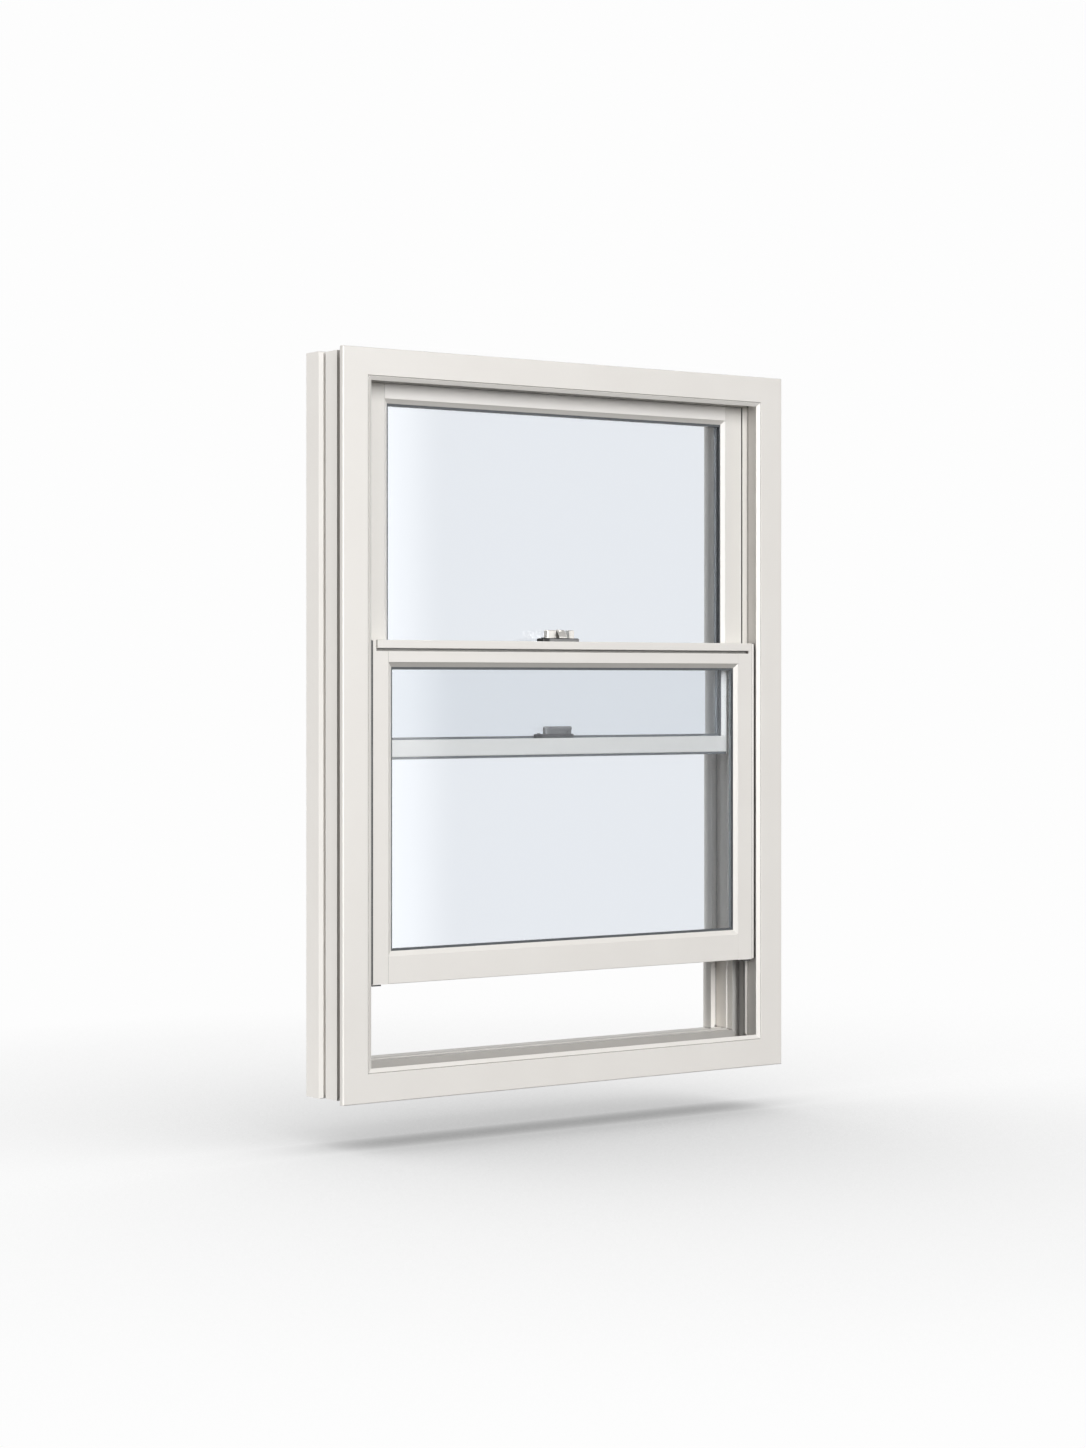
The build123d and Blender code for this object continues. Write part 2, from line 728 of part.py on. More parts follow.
def lock_base():
    """Foot of the cam lock with its pivot pin and the fixed block at its right end."""
    middle = FRONT_Y + LOWER_BACK - LOCK_BASE_DEPTH / 2
    foot_top = LOWER_TOP + LOCK_BASE_HEIGHT
    centre = Pos(LOCK_X + LOCK_BASE_SHIFT, middle)
    plate = centre * RectangleRounded(LOCK_BASE_LENGTH, LOCK_BASE_DEPTH, LOCK_BASE_ROUND)
    foot = block(plate, LOWER_TOP, LOCK_BASE_HEIGHT)
    foot = chamfer(foot.faces().sort_by(Axis.Z)[-1].edges(), LEVER_ROUND)
    pin = block(Pos(LOCK_X, pivot_y()) * Circle(PIVOT_RADIUS), foot_top, LEVER_HEIGHT)
    left = math.hypot(THUMB_REACH, THUMB_WIDTH / 2) + THUMB_GAP
    end = Pos(LOCK_X + left + LOCK_BLOCK_LENGTH / 2, pivot_y()) * Rectangle(LOCK_BLOCK_LENGTH, LEVER_DEPTH)
    stop = block(end, foot_top, LEVER_HEIGHT)
    stop = fillet(stop.faces().sort_by(Axis.Z)[-1].edges(), LEVER_ROUND)
    return foot + pin + stop


def lock_lever():
    """Turning lever of the cam lock: arm to the left, thumb piece in front, tongue to the right."""
    low = LOWER_TOP + LOCK_BASE_HEIGHT + LEVER_GAP
    height = LEVER_HEIGHT - LEVER_GAP
    grip = Pos(-LEVER_ARM / 2, 0) * RectangleRounded(LEVER_ARM, LEVER_DEPTH, LEVER_CORNER)
    body = block(grip + Circle(HUB_RADIUS), low, height)
    body = fillet(body.faces().sort_by(Axis.Z)[-1].edges(), LEVER_ROUND)
    body += thumb_piece(low, low + height)
    body += block(tongue(), low + TONGUE_LIFT, TONGUE_HEIGHT)
    bore = block(Circle(PIVOT_RADIUS + PIVOT_GAP), low, height)
    return Pos(LOCK_X, pivot_y(), 0) * (body - bore)


def lock_keeper():
    """Keeper on the meeting rail: a foot and a hood that is open towards the tongue."""
    front = UPPER_FRONT + KEEPER_SETBACK
    middle = FRONT_Y + front + KEEPER_DEPTH / 2
    plate = RectangleRounded(KEEPER_LENGTH, KEEPER_DEPTH, KEEPER_ROUND).face()
    foot = extrude(Pos(LOCK_X, middle, RAIL_TOP) * plate, amount=KEEPER_BASE_HEIGHT, dir=(0, 0, 1))
    foot = chamfer(foot.faces().sort_by(Axis.Z)[-1].edges(), KEEPER_SETBACK)
    shell = RectangleRounded(KEEPER_HOOD_LENGTH, KEEPER_DEPTH, KEEPER_ROUND).face()
    hood_x = LOCK_X + KEEPER_HOOD_SHIFT
    hood_low = RAIL_TOP + KEEPER_BASE_HEIGHT
    hood = extrude(Pos(hood_x, middle, hood_low) * shell, amount=KEEPER_HOOD_HEIGHT, dir=(0, 0, 1))
    hood = fillet(hood.faces().sort_by(Axis.Z)[-1].edges(), KEEPER_EDGE)
    left = LOCK_X - TONGUE_WIDTH / 2 - KEEPER_CLEARANCE
    right = hood_x + KEEPER_HOOD_LENGTH / 2
    reach = LOWER_BACK - LOCK_PIVOT_SETBACK + TONGUE_REACH + KEEPER_CLEARANCE
    mouth = panel(left, right, hood_low, hood_low + KEEPER_MOUTH, front, reach)
    return foot + (hood - mouth)


def mirrored(shape):
    """The same piece on the left side."""
    return mirror(shape, about=Plane.YZ)


def write(node, shape):
    """One STEP file for a named piece."""
    export_step(shape, f"parts/{node}.step")


def write_pair(kind, shape):
    """A right piece and its left twin."""
    write(f"right_{kind}", shape)
    write(f"left_{kind}", mirrored(shape))


def write_frame():
    """Fixed frame with its stops and screen tracks."""
    write("frame_head", frame_head())
    write("frame_sill", frame_sill())
    write_pair("jamb", right_jamb())
    write_pair("screen_track", right_screen_track())
    write_pair("sash_stop", right_sash_stop())


def write_upper_sash():
    """Fixed upper sash with its glass and the keeper."""
    stile = upper_right_stile()
    stiles = [stile, mirrored(stile)]
    write_pair("upper_stile", stile)
    write("upper_top_rail", upper_top_rail(stiles))
    write("upper_meeting_rail", upper_meeting_rail(stiles))
    write("meeting_seal", meeting_seal())
    write_pair("upper_bead", upper_side_bead())
    write("upper_top_bead", upper_top_bead())
    write("upper_gasket", upper_gasket())
    inner, outer, spacer = upper_glass()
    write("upper_inner_pane", inner)
    write("upper_outer_pane", outer)
    write("upper_spacer", spacer)
    write("lock_keeper", lock_keeper())


def write_lower_sash():
    """Sliding lower sash with its glass, seals and the foot of the lock."""
    half, low, high = lower_opening()
    groove = lift_groove()
    stile = lower_right_stile() - groove
    stiles = [stile, mirrored(stile)]
    write_pair("lower_stile", stile)
    write("lower_top_rail", lower_rail(LOWER_TOP, high, high - LOWER_BEAD, stiles) - groove)
    write("lower_bottom_rail", lower_rail(LOWER_BOTTOM, low, low + LOWER_BEAD, stiles))
    write("lift_rail", lift_rail())
    write_pair("lower_bead", lower_side_bead())
    write("lower_top_bead", lower_rail_bead(high, high - LOWER_BEAD))
    write("lower_bottom_bead", lower_rail_bead(low, low + LOWER_BEAD))
    write("lower_gasket", lower_gasket())
    inner, outer, spacer = lower_glass()
    write("lower_inner_pane", inner)
    write("lower_outer_pane", outer)
    write("lower_spacer", spacer)
    write_pair("corner_pad", right_corner_pad())
    write_pair("side_pile", right_side_pile())
    write("lock_base", lock_base())


def main():
    """Build every piece."""
    os.makedirs("parts", exist_ok=True)
    write_frame()
    write_upper_sash()
    write_lower_sash()
    write("lock_lever", lock_lever())


main()
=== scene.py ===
"""Looks of a white vinyl single hung window with its lower sash raised.

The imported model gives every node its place. This script gives each one its finish, adds the small
fittings that ride on them, and sets the stage, the light and the camera. Lengths are in metres.
"""
import json
import logging
import math
from dataclasses import dataclass, replace
from enum import Enum
from typing import Any, ClassVar, Iterable, Union

import bmesh
import bpy
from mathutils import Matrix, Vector


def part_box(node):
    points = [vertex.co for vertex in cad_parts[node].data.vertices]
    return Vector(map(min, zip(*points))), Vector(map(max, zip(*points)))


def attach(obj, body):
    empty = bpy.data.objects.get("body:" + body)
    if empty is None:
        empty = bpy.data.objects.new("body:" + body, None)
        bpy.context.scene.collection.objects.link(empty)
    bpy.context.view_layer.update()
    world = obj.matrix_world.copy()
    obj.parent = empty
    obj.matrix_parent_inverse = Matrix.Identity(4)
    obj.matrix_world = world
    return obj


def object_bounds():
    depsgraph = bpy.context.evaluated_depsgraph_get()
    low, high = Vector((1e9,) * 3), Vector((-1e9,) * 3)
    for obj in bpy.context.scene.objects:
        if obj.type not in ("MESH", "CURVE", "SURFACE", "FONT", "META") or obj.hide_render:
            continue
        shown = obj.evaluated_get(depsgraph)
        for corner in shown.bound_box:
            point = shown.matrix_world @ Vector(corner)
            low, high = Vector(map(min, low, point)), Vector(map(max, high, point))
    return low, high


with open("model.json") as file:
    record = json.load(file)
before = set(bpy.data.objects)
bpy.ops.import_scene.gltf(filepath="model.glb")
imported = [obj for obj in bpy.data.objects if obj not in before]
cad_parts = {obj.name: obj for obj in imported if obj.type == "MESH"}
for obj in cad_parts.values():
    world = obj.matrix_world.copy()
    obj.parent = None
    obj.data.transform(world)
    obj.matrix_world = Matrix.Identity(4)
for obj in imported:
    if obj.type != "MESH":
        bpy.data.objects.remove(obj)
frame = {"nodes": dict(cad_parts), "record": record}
CAD_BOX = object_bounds()
MM = 0.001

# Past every side of the window, for a patch that has no end there.
FAR = 2.0
# Height of the flat foot of each lock piece.
FOOT_HEIGHT = {"lock_base": 5.6 * MM, "lock_keeper": 7.0 * MM}
# How closely a face looks one way to count as facing it: the cosine between the two.
FACING = 0.9
SMOOTH_ANGLE = math.radians(35.0)
QUARTER = math.radians(90.0)

Colour = tuple[float, float, float]
Point = tuple[float, float, float]
log = logging.getLogger("window")


def srgb(red: int, green: int, blue: int) -> Colour:
    """Turn a colour as a screen shows it into the linear one that shaders take.

    Args:
        red: Red from 0 to 255.
        green: Green from 0 to 255.
        blue: Blue from 0 to 255.

    Returns:
        The linear colour.
    """
    def linear(channel: int) -> float:
        """One channel, by the usual screen curve."""
        share = channel / 255
        return share / 12.92 if share <= 0.04045 else ((share + 0.055) / 1.055) ** 2.4

    return linear(red), linear(green), linear(blue)


def opaque(colour: Colour) -> tuple[float, float, float, float]:
    """The colour with full alpha."""
    return (*colour, 1.0)


class Socket:
    """A shader socket that Python arithmetic works on."""

    def __init__(self, graph: "ShaderGraph", socket: bpy.types.NodeSocket) -> None:
        """Keep the socket and the graph that it belongs to."""
        self.graph = graph
        self.socket = socket

    def _math(self, operation: str, first: "Operand", second: "Operand") -> "Socket":
        """One Math node on two operands."""
        return self.graph.add("ShaderNodeMath", {"operation": operation}, {0: first, 1: second})

    def __add__(self, other: "Operand") -> "Socket":
        """Sum."""
        return self._math("ADD", self, other)

    def __radd__(self, other: "Operand") -> "Socket":
        """Sum with a number on the left."""
        return self._math("ADD", other, self)

    def __sub__(self, other: "Operand") -> "Socket":
        """Difference."""
        return self._math("SUBTRACT", self, other)

    def __rsub__(self, other: "Operand") -> "Socket":
        """Difference with a number on the left."""
        return self._math("SUBTRACT", other, self)

    def __mul__(self, other: "Operand") -> "Socket":
        """Product."""
        return self._math("MULTIPLY", self, other)

    def __rmul__(self, other: "Operand") -> "Socket":
        """Product with a number on the left."""
        return self._math("MULTIPLY", other, self)

    def __or__(self, other: "Operand") -> "Socket":
        """The larger of two masks."""
        return self._math("MAXIMUM", self, other)

    def __gt__(self, other: "Operand") -> "Socket":
        """1 where this is larger."""
        return self._math("GREATER_THAN", self, other)

    def __lt__(self, other: "Operand") -> "Socket":
        """1 where this is smaller."""
        return self._math("LESS_THAN", self, other)

    def __abs__(self) -> "Socket":
        """Size without its sign."""
        return self._math("ABSOLUTE", self, 0.0)


Operand = Union[Socket, float]
Tone = Union[Socket, Colour]


class ShaderGraph:
    """The nodes of one material or world, built from empty."""

    def __init__(self, tree: bpy.types.NodeTree) -> None:
        """Take over a node tree.

        Args:
            tree: The tree, which is cleared.
        """
        self.tree = tree
        tree.nodes.clear()

    def add(
        self,
        kind: str,
        settings: dict[str, Any] | None = None,
        inputs: dict[str | int, Any] | None = None,
        output: str | int = 0,
    ) -> Socket:
        """Add one node.

        Args:
            kind: The node's type.
            settings: Its properties, set first.
            inputs: Values or links of its sockets, by name or number.
            output: The socket to hand back.

        Returns:
            The chosen output, ready for arithmetic.
        """
        node = self.tree.nodes.new(kind)
        for name, value in (settings or {}).items():
            setattr(node, name, value)
        for key, value in (inputs or {}).items():
            if isinstance(value, Socket):
                self.tree.links.new(value.socket, node.inputs[key])
            else:
                node.inputs[key].default_value = value
        outputs = node.outputs if len(node.outputs) else node.inputs
        return Socket(self, outputs[output])

    def object_place(self, stretch: Point = (1.0, 1.0, 1.0)) -> Socket:
        """Object coordinates, scaled along each axis.

        Args:
            stretch: Scale along x, y and z.

        Returns:
            The scaled coordinates.
        """
        place = self.add("ShaderNodeTexCoord", output="Object")
        return self.add("ShaderNodeMapping", {"vector_type": "POINT"}, {"Vector": place, "Scale": stretch})

    def noise(self, place: Socket, scale: float, detail: float) -> Socket:
        """Soft noise around 0.5.

        Args:
            place: Coordinates.
            scale: Features per unit of the coordinates.
            detail: Octaves.

        Returns:
            The noise value.
        """
        inputs = {"Vector": place, "Scale": scale, "Detail": detail}
        return self.add("ShaderNodeTexNoise", {"noise_dimensions": "3D"}, inputs)

    def blend(self, share: Operand, first: "Tone", second: "Tone") -> Socket:
        """A colour between two.

        Args:
            share: How much of the second.
            first: Colour at 0.
            second: Colour at 1.

        Returns:
            The mixed colour.
        """
        first, second = (tone if isinstance(tone, Socket) else opaque(tone) for tone in (first, second))
        return self.add("ShaderNodeMix", {"data_type": "RGBA"}, {0: share, 6: first, 7: second}, output=2)

    def along(self, axis: str) -> Socket:
        """A point's place along X, Y or Z."""
        return self.add("ShaderNodeSeparateXYZ", {}, {"Vector": self.object_place()}, axis)

    def bump(self, height: Socket, distance: float, strength: float) -> Socket:
        """A normal bent by a height.

        Args:
            height: Height from 0 to 1.
            distance: Real height of 1.
            strength: How much of it shows.

        Returns:
            The bent normal.
        """
        inputs = {"Height": height, "Distance": distance, "Strength": strength}
        return self.add("ShaderNodeBump", {}, inputs)

    def principled(self, inputs: dict[str, Any]) -> Socket:
        """The main surface shader.

        Args:
            inputs: Values or links of its sockets.

        Returns:
            Its shader output.
        """
        return self.add("ShaderNodeBsdfPrincipled", {}, inputs)

    def surface(self, shader: Socket) -> None:
        """Send a shader to the material's output."""
        self.add("ShaderNodeOutputMaterial", {}, {"Surface": shader})


def new_material(name: str) -> tuple[bpy.types.Material, ShaderGraph]:
    """An empty node material.

    Args:
        name: Its name.

    Returns:
        The material and its graph.
    """
    material = bpy.data.materials.new(name)
    material.use_nodes = True
    return material, ShaderGraph(material.node_tree)


@dataclass(frozen=True)
class Patch:
    """A box of the object, alike on both sides of its middle plane, where a finish takes another tone."""

    low: Point
    high: Point
    tone: Colour

    def over(self, graph: ShaderGraph, tone: Tone) -> Socket:
        """Lay the patch over a tone.

        Args:
            graph: The material's graph.
            tone: The finish's own tone.

        Returns:
            The tone with the patch on it.
        """
        inside: Operand = 1.0
        places = (abs(graph.along("X")), graph.along("Y"), graph.along("Z"))
        for place, low, high in zip(places, self.low, self.high):
            inside = (place > low) * (place < high) * inside
        return graph.blend(inside, tone, self.tone)


class Run(Enum):
    """The way a profile was drawn through its die."""

    LEVEL = "level"
    UPRIGHT = "upright"


@dataclass(frozen=True)
class VinylFinish:
    """Extruded white vinyl: a soft sheen, faint die lines along the profile and hardly any mottling."""

    name: str
    run: Run
    pale: Colour = srgb(236, 233, 228)
    deep: Colour = srgb(231, 227, 222)
    roughness: float = 0.36
    roughness_play: float = 0.10
    line_scale: float = 620.0
    line_stretch: float = 0.004
    line_share: float = 0.7
    grain_share: float = 0.3
    line_height: float = 0.02 * MM
    line_strength: float = 0.35
    mottle_scale: float = 9.0
    grain_scale: float = 1500.0
    # Dust and painted shade: ambient occlusion lays this tone into grooves, creases and inner corners,
    # darkening them where shade falls.
    dust: Colour = srgb(112, 109, 105)
    dust_and_shade_reach: float = 6 * MM
    dust_and_shade_open: float = 0.78
    dust_and_shade_closed: float = 0.28
    dust_and_shade_samples: int = 8
    patches: tuple[Patch, ...] = ()

    def material(self) -> bpy.types.Material:
        """Build the material."""
        material, graph = new_material(self.name)
        stretch = {
            Run.LEVEL: (self.line_stretch, 1.0, 1.0),
            Run.UPRIGHT: (1.0, 1.0, self.line_stretch),
        }[self.run]
        lines = graph.noise(graph.object_place(stretch), self.line_scale, 2.0)
        place = graph.object_place()
        mottle = graph.noise(place, self.mottle_scale, 4.0)
        grain = graph.noise(place, self.grain_scale, 2.0)
        relief = self.line_share * lines + self.grain_share * grain
        clean = graph.blend(mottle, self.deep, self.pale)
        for patch in self.patches:
            clean = patch.over(graph, clean)
        graph.surface(graph.principled({
            # The base colour takes dust and painted shade in grooves and corners.
            "Base Color": graph.blend(self._dust_and_shade(graph), clean, self.dust),
            "Roughness": self.roughness - self.roughness_play / 2 + self.roughness_play * mottle,
            "Normal": graph.bump(relief, self.line_height, self.line_strength),
        }))
        return material

    def _dust_and_shade(self, graph: ShaderGraph) -> Socket:
        """How much dust and painted shade lies at a point, by ambient occlusion: none in the open, most at
        the bottom of a narrow groove.
        """
        reach = {"Distance": self.dust_and_shade_reach}
        free = graph.add("ShaderNodeAmbientOcclusion", {"samples": self.dust_and_shade_samples}, reach, "AO")
        limits = {"Value": free, "From Min": self.dust_and_shade_open, "From Max": self.dust_and_shade_closed}
        return graph.add("ShaderNodeMapRange", {"interpolation_type": "SMOOTHSTEP"}, limits)


@dataclass(frozen=True)
class GlassFinish:
    """Clear float glass with a faint cool tint, which lets the lamps through."""

    name: str
    tint: Colour = (0.974, 0.984, 0.993)
    index: float = 1.5

    def material(self) -> bpy.types.Material:
        """Build the material."""
        material, graph = new_material(self.name)
        glass = graph.principled({
            "Base Color": opaque(self.tint),
            "Roughness": 0.0,
            "IOR": self.index,
            "Transmission Weight": 1.0,
        })
        clear = graph.add("ShaderNodeBsdfTransparent", {}, {"Color": opaque(self.tint)})
        shadow = graph.add("ShaderNodeLightPath", output="Is Shadow Ray")
        graph.surface(graph.add("ShaderNodeMixShader", {}, {0: shadow, 1: glass, 2: clear}))
        return material


@dataclass(frozen=True)
class RubberFinish:
    """Soft dark rubber with a dusty bloom."""

    name: str
    dark: Colour
    bloom: Colour
    roughness: float = 0.62
    roughness_play: float = 0.15
    dust_scale: float = 60.0
    grain_scale: float = 900.0
    grain_height: float = 0.04 * MM
    grain_strength: float = 0.5

    def material(self) -> bpy.types.Material:
        """Build the material."""
        material, graph = new_material(self.name)
        place = graph.object_place()
        dust = graph.noise(place, self.dust_scale, 4.0)
        grain = graph.noise(place, self.grain_scale, 3.0)
        graph.surface(graph.principled({
            "Base Color": graph.blend(dust, self.dark, self.bloom),
            "Roughness": self.roughness + self.roughness_play * dust,
            "Normal": graph.bump(grain, self.grain_height, self.grain_strength),
        }))
        return material


@dataclass(frozen=True)
class MetalFinish:
    """Bare or plated metal with fine brushing along its length."""

    name: str
    pale: Colour
    deep: Colour
    roughness: float
    roughness_play: float = 0.12
    brush_scale: float = 900.0
    brush_stretch: float = 0.03
    brush_height: float = 0.01 * MM
    brush_strength: float = 0.4
    cloud_scale: float = 120.0
    patches: tuple[Patch, ...] = ()

    def material(self) -> bpy.types.Material:
        """Build the material."""
        material, graph = new_material(self.name)
        along = graph.object_place((self.brush_stretch, 1.0, 1.0))
        brush = graph.noise(along, self.brush_scale, 3.0)
        cloud = graph.noise(graph.object_place(), self.cloud_scale, 3.0)
        tone = graph.blend(cloud, self.deep, self.pale)
        for patch in self.patches:
            tone = patch.over(graph, tone)
        graph.surface(graph.principled({
            "Base Color": tone,
            "Metallic": 1.0,
            "Roughness": self.roughness - self.roughness_play / 2 + self.roughness_play * brush,
            "Normal": graph.bump(brush, self.brush_height, self.brush_strength),
        }))
        return material


@dataclass(frozen=True)
class PileFinish:
    """Grey pile: short fibres that stand close together."""

    name: str
    deep: Colour = srgb(88, 88, 90)
    pale: Colour = srgb(140, 140, 142)
    roughness: float = 0.95
    fibre_scale: float = 2600.0
    fibre_stretch: float = 0.12
    fibre_height: float = 0.3 * MM
    fibre_strength: float = 0.8

    def material(self) -> bpy.types.Material:
        """Build the material."""
        material, graph = new_material(self.name)
        fibre = graph.noise(graph.object_place((self.fibre_stretch, 1.0, 1.0)), self.fibre_scale, 2.0)
        graph.surface(graph.principled({
            "Base Color": graph.blend(fibre, self.deep, self.pale),
            "Roughness": self.roughness,
            "Normal": graph.bump(fibre, self.fibre_height, self.fibre_strength),
        }))
        return material


@dataclass(frozen=True)
class Finishes:
    """Every finish of the window, made once."""

    level: bpy.types.Material
    upright: bpy.types.Material
    sill: bpy.types.Material
    jamb: bpy.types.Material
    track: bpy.types.Material
    glass: bpy.types.Material
    seal: bpy.types.Material
    pad: bpy.types.Material
    spacer: bpy.types.Material
    lever: bpy.types.Material
    foot: bpy.types.Material
    keeper: bpy.types.Material
    screw: bpy.types.Material
    pile: bpy.types.Material

    @classmethod
    def make(cls) -> "Finishes":
        """Build all the materials."""
        level = VinylFinish("vinyl_level", Run.LEVEL, patches=(
            # Painted light on the upper top rail against the head's shadow, and painted shade on the two top
            # beads under their overhangs.
            cls._piece_light_and_shade("upper_top_rail", srgb(247, 244, 240)),
            cls._piece_light_and_shade("upper_top_bead", srgb(222, 219, 214)),
            cls._piece_light_and_shade("lower_top_bead", srgb(189, 186, 181)),
            cls._groove_shade(Run.LEVEL),
        ))
        upright = VinylFinish("vinyl_upright", Run.UPRIGHT, patches=(
            # Painted shade on the upper stiles and a painted highlight on the upper side beads.
            cls._piece_light_and_shade("right_upper_stile", srgb(228, 225, 220)),
            cls._piece_light_and_shade("right_upper_bead", srgb(247, 244, 240)),
        ))
        nickel = MetalFinish("satin_nickel", srgb(212, 209, 204), srgb(196, 193, 188), 0.42)
        dark = MetalFinish("dark_nickel", srgb(96, 96, 97), srgb(74, 74, 75), 0.45)
        return cls(
            level=level.material(),
            upright=upright.material(),
            # Painted shade in the sill's dam, pocket and outer leg.
            sill=replace(level, name="vinyl_sill", patches=cls._sill_track_shade()).material(),
            # Painted shade in the jamb's channel, in the groove behind the lip and on the lip's outer face.
            jamb=replace(
                upright, name="vinyl_jamb", patches=(cls._jamb_track_shade(), cls._groove_shade(Run.UPRIGHT), cls._lip_shade()),
            ).material(),
            track=replace(upright, name="vinyl_track", pale=srgb(240, 237, 232), patches=()).material(),
            glass=GlassFinish("float_glass").material(),
            seal=RubberFinish("glazing_seal", srgb(62, 65, 68), srgb(86, 90, 94)).material(),
            pad=RubberFinish("sash_pad", srgb(48, 48, 50), srgb(70, 70, 72)).material(),
            spacer=MetalFinish("mill_spacer", srgb(150, 153, 156), srgb(132, 135, 138), 0.5).material(),
            # Painted shade and dark reflection on the thumb piece's left flank.
            lever=replace(nickel, name="nickel_lever", patches=(cls._thumb_flank_shade(),)).material(),
            # The left ear of each foot is painted darker: painted shade and dark reflection.
            foot=replace(
                nickel, name="nickel_foot", patches=cls._foot_plate("lock_base", plate=122, ear=64),
            ).material(),
            keeper=replace(
                dark, name="dull_nickel", pale=srgb(110, 109, 109), deep=srgb(84, 84, 84),
                patches=cls._foot_plate("lock_keeper", plate=72, ear=40),
            ).material(),
            screw=replace(dark, name="screw_steel").material(),
            pile=PileFinish("grey_pile").material(),
        )

    @staticmethod
    def _sill_track_shade() -> tuple[Patch, Patch]:
        """Painted shade on the room side of the sill's dam and pocket, and a lighter painted shade on the top
        of its outer leg.
        """
        front, back = (corner.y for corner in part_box("upper_meeting_rail"))
        floor = CAD_BOX[0].z + 10 * MM
        dam, leg_front, leg_back = front - 1 * MM, back + 0.6 * MM, -5 * MM
        pocket = Patch((-FAR, dam, floor), (FAR, leg_front, FAR), srgb(172, 169, 165))
        leg = Patch((-FAR, leg_front, floor), (FAR, leg_back, FAR), srgb(208, 205, 200))
        return pocket, leg

    @staticmethod
    def _jamb_track_shade() -> Patch:
        """Painted shade in the channel behind the lower sash."""
        low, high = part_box("right_upper_stile")
        wall, side = high.x - 11.3 * MM, high.x + 4 * MM
        skin = 0.2 * MM
        return Patch((wall, low.y + skin, -FAR), (side, high.y + skin, FAR), srgb(182, 180, 177))

    @staticmethod
    def _piece_light_and_shade(node: str, tone: Colour) -> Patch:
        """A tone for one whole piece, and for its twin on the other side: painted light where it is paler
        than the vinyl, painted shade where it is darker.

        Args:
            node: The piece, the right one of a pair.
            tone: Its painted tone.

        Returns:
            The patch.
        """
        low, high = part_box(node)
        skin = 0.05 * MM
        near = -FAR if low.x < 0.0 else low.x + skin
        return Patch((near, low.y - skin, low.z + skin), (high.x - skin, high.y, high.z - skin), tone)

    @staticmethod
    def _groove_shade(run: Run) -> Patch:
        """Painted shade in the groove behind the frame's front lip.

        Args:
            run: Along the head, or along the jambs.

        Returns:
            The patch.
        """
        start, end = CAD_BOX[0].y + 9 * MM, CAD_BOX[0].y + 26.7 * MM
        deep, shallow = 12.5 * MM, 5.2 * MM
        edge, top = CAD_BOX[1].x, CAD_BOX[1].z
        low, high = {
            Run.LEVEL: ((-FAR, start, top - deep), (FAR, end, top - shallow)),
            Run.UPRIGHT: ((edge - deep, start, -FAR), (edge - shallow, end, FAR)),
        }[run]
        # A darker tone painted as the shade behind the lip.
        return Patch(low, high, srgb(180, 177, 172))

    @staticmethod
    def _lip_shade() -> Patch:
        """Painted shade on the outer face of the frame's front lip at the jambs, darker than the rest."""
        front, edge = CAD_BOX[0].y, CAD_BOX[1].x
        skin, depth = 0.4 * MM, 9.8 * MM
        return Patch((edge - skin, front + skin, -FAR), (FAR, front + depth, FAR), srgb(216, 213, 208))

    @staticmethod
    def _thumb_flank_shade() -> Patch:
        """Painted shade and dark reflection on the left flank of the thumb piece."""
        low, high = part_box("lock_lever")
        flank, depth = abs(low.x) - 18.5 * MM, 9 * MM
        near, far = flank - 0.5 * MM, flank + 0.2 * MM
        return Patch((near, low.y, low.z), (far, low.y + depth, high.z), srgb(72, 70, 68))

    @staticmethod
    def _foot_plate(node: str, plate: int, ear: int) -> tuple[Patch, Patch]:
        """The dull foot of a lock piece, and its left ear, painted darker still as shade and dark reflection.

        Args:
            node: The lock piece.
            plate: Grey of the foot, from 0 to 255.
            ear: Grey of the ear's painted shade.

        Returns:
            The two patches, the ear last.
        """
        low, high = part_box(node)
        top = low.z + FOOT_HEIGHT[node]
        outer, ear_wide = abs(low.x), 14 * MM
        front, back, foot = low.y - MM, high.y + MM, low.z - MM
        whole = Patch((-FAR, front, foot), (outer + MM, back, top), srgb(plate, plate, plate))
        return whole, replace(whole, low=(outer - ear_wide, front, foot), tone=srgb(ear, ear, ear))


@dataclass(frozen=True)
class Sight:
    """What a ray of the backdrop is for."""

    graph: ShaderGraph
    mirrored: float = 0.55
    white: Colour = (0.983, 0.983, 0.983)
    daylight: Colour = (0.900, 0.918, 0.950)

    def _path(self, output: str) -> Socket:
        """One output of the light path."""
        return self.graph.add("ShaderNodeLightPath", output=output)

    def direct(self) -> Socket:
        """1 for what the camera sees, also mirrored or through a pane, and 0 for light on a dull surface."""
        seen = self._path("Is Camera Ray") | self._path("Is Glossy Ray") | self._path("Is Transmission Ray")
        return seen * (1.0 - (self._path("Diffuse Depth") > 0.5))

    def level(self) -> Socket:
        """1 for what is seen straight or through a pane, and less for what is seen in a mirror."""
        return 1.0 - (1.0 - self.mirrored) * (self._path("Glossy Depth") > 0.5)

    def tone(self) -> Socket:
        """White, and a cooler daylight through a pane."""
        return self.graph.blend(self._path("Transmission Depth") > 0.5, self.white, self.daylight)


def dress(nodes: Iterable[str], material: bpy.types.Material) -> None:
    """Give CAD nodes a finish.

    Args:
        nodes: Names of the nodes.
        material: The finish.
    """
    for node in nodes:
        mesh = frame["nodes"][node].data
        mesh.materials.clear()
        mesh.materials.append(material)
        log.info("%s: %s", node, material.name)


def both(kind: str) -> tuple[str, str]:
    """The names of a left and right pair of nodes."""
    return f"left_{kind}", f"right_{kind}"


def pick_faces(facing: Point) -> None:
    """Select the faces of the piece in edit mode that look one way.

    Args:
        facing: The direction, of length 1.
    """
    bpy.ops.mesh.select_mode(type="FACE")
    bpy.ops.mesh.select_all(action="DESELECT")
    mesh = bpy.context.object.data
    faces = bmesh.from_edit_mesh(mesh)
    for face in faces.faces:
        face.select_set(face.normal.dot(Vector(facing)) > FACING)
    faces.select_flush_mode()
    bmesh.update_edit_mesh(mesh)


